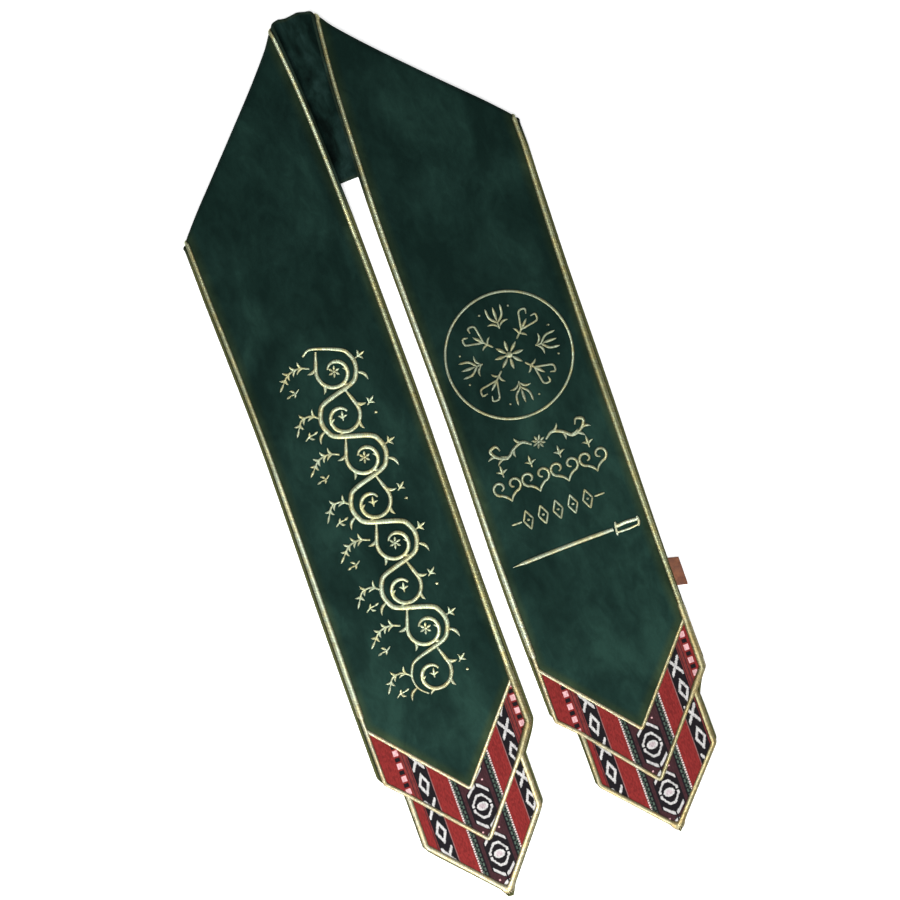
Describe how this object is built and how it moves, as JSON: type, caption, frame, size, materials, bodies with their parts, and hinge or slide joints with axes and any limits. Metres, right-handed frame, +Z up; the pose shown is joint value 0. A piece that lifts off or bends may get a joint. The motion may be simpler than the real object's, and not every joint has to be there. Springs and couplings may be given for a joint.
{
  "type": "stole sash",
  "caption": "Long velvet sash laid flat, folded at the neck so both panels hang alike, with gold edging, gold embroidery, woven arrow ends and a leather tab.",
  "frame": {"origin": "middle of the sash's outline, on the surface that it lies on", "axes": "+Z up, +Y from the two arrow ends towards the neck fold, +X towards the panel with the leather tab"},
  "size_m": [0.3238, 0.8064, 0.0092],
  "materials": {
    "backing_cloth": "dark green velvet, short pile",
    "velvet": "deep green velvet with a soft cloudy nap",
    "gold_thread": "pale gold satin thread with a metallic lustre",
    "woven_cloth": "matt striped wool weave in red, black, white and green",
    "label_leather": "brown grained leather, bare"
  },
  "bodies": {
    "root": {"backing": "backing_cloth", "velvet_front": "velvet", "edge_cord": "gold_thread", "left_v_cord": "gold_thread", "right_v_cord": "gold_thread", "left_tip_cord": "gold_thread", "right_tip_cord": "gold_thread", "left_upper_band": "woven_cloth", "right_upper_band": "woven_cloth", "left_lower_band": "woven_cloth", "right_lower_band": "woven_cloth", "label": "label_leather"}
  },
  "joints": []
}
